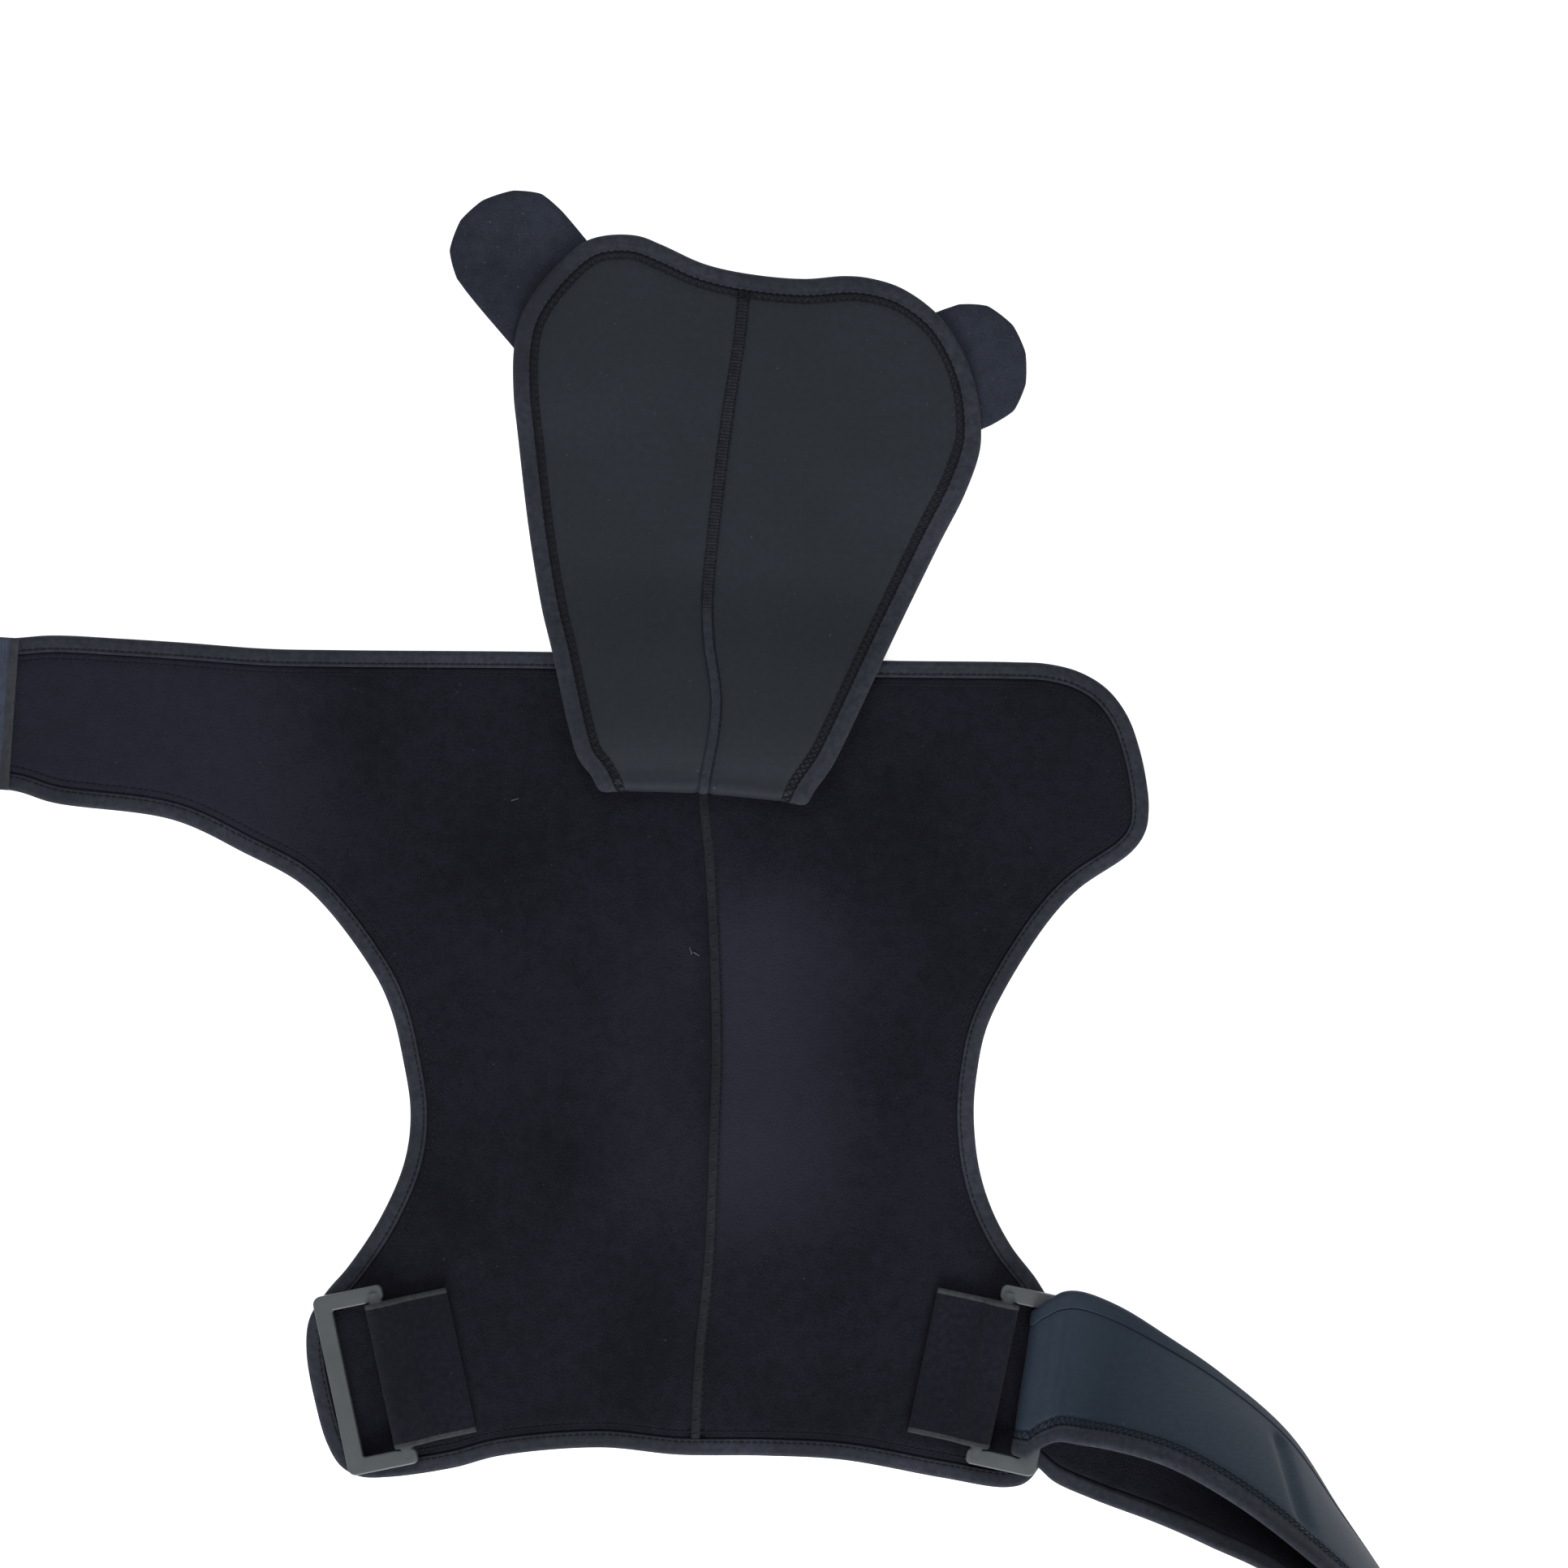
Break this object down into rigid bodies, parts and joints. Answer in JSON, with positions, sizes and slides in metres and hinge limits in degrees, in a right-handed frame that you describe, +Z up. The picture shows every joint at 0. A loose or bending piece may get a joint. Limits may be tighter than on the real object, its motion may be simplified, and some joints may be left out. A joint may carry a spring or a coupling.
{
  "type": "shoulder brace",
  "caption": "Flat-lying neoprene shoulder brace: seamed body with arms and wings, folded neck flap with tabs, webbing-looped plastic rings and a doubled strap.",
  "frame": {"origin": "middle of the waist between the armholes, on the underside that lies on the table", "axes": "+Z up out of the inner face, +Y from the hem to the neck flap, +X to the side of the threaded ring"},
  "size_m": [0.628, 0.5974, 0.0544],
  "materials": {
    "pile": "matte brushed loop pile, near black",
    "jersey": "smooth matte knit, dark slate",
    "binding": "matte stretch tape, charcoal",
    "fleece": "matte felted loop, charcoal",
    "webbing": "woven webbing, near black",
    "elastic": "ribbed elastic, dark grey",
    "plastic": "satin moulded plastic, grey"
  },
  "bodies": {
    "brace": {"panel_left": "pile", "panel_right": "pile", "body_seam": "binding", "body_binding": "binding", "flap_left": "jersey", "flap_right": "jersey", "flap_seam": "binding", "flap_binding": "binding", "tab_left": "fleece", "tab_right": "fleece", "webbing_left": "webbing", "ring_right": "plastic", "webbing_right": "webbing", "strap": "jersey", "strap_binding_north": "binding", "strap_binding_south": "binding", "elastic": "elastic"},
    "free_ring": {"ring_left": "plastic"}
  },
  "joints": [
    {"name": "free_ring_swing", "type": "hinge", "parent": "brace", "child": "free_ring", "pos_m": [-0.11822, -0.10304, 0.0086], "axis": [-0.2079, 0.9781, 0], "range_deg": [0, 172]}
  ]
}
